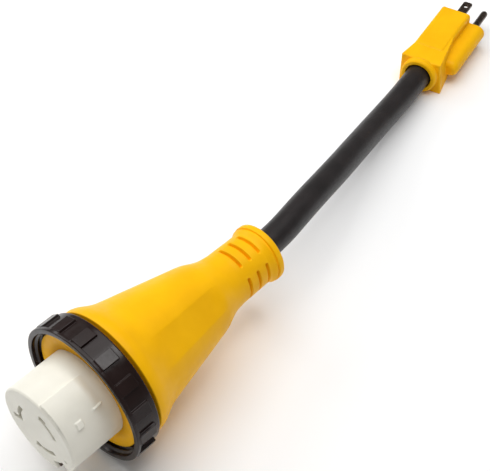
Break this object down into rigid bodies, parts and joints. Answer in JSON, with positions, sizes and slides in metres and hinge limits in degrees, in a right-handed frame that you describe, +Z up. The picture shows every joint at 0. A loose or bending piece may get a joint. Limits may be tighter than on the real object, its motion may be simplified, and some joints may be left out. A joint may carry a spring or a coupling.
{
  "type": "power adapter dogbone",
  "caption": "Short power adapter: a straight-blade plug on a stiff round cable, and a tapered moulded outlet with a threaded locking ring round a white barrel.",
  "frame": {"origin": "centre of the outlet's face, on the outlet's axis", "axes": "+X along the outlet's axis from its face back towards the cable, +Z up with the adapter lying on a flat surface"},
  "size_m": [0.4554, 0.1145, 0.082],
  "materials": {
    "insert_white": "satin",
    "contact_brass": "satin",
    "copper_strand": "satin",
    "ring_black": "glossy",
    "washer_nylon": "matte",
    "body_yellow": "semi-gloss",
    "jacket_black": "matte",
    "filler_fibre": "matte",
    "wire_black": "satin",
    "wire_white": "satin",
    "wire_green": "satin",
    "bridge_grey": "matte",
    "blade_metal": "satin",
    "crimp_tin": "satin"
  },
  "bodies": {
    "adapter": {"female_insert": "insert_white", "insert_hub": "insert_white", "insert_rear_block": "insert_white", "hot_contact_x": "contact_brass", "hot_contact_y": "contact_brass", "neutral_contact": "contact_brass", "ground_contact": "contact_brass", "hot_link_bar": "contact_brass", "link_rivets": "contact_brass", "socket_wire_ends": "copper_strand", "plug_wire_ends": "copper_strand", "connector_body": "body_yellow", "plug_body": "body_yellow", "cable_jacket": "jacket_black", "cable_fillers": "filler_fibre", "line_wire": "wire_black", "neutral_wire": "wire_white", "ground_wire": "wire_green", "plug_core": "bridge_grey", "blade_bridge": "bridge_grey", "line_blade": "blade_metal", "neutral_blade": "blade_metal", "ground_pin": "blade_metal", "plug_crimps": "crimp_tin"},
    "ring_carriage": {"slip_washer": "washer_nylon"},
    "locking_ring": {"locking_ring": "ring_black"}
  },
  "joints": [
    {"name": "ring_slide", "type": "slide", "parent": "adapter", "child": "ring_carriage", "axis": [1, 0, 0], "range_m": [0, 0.0024]},
    {"name": "ring_turn", "type": "hinge", "parent": "ring_carriage", "child": "locking_ring", "pos_m": [0.036, 0, 0], "axis": [1, 0, 0], "continuous": true}
  ]
}
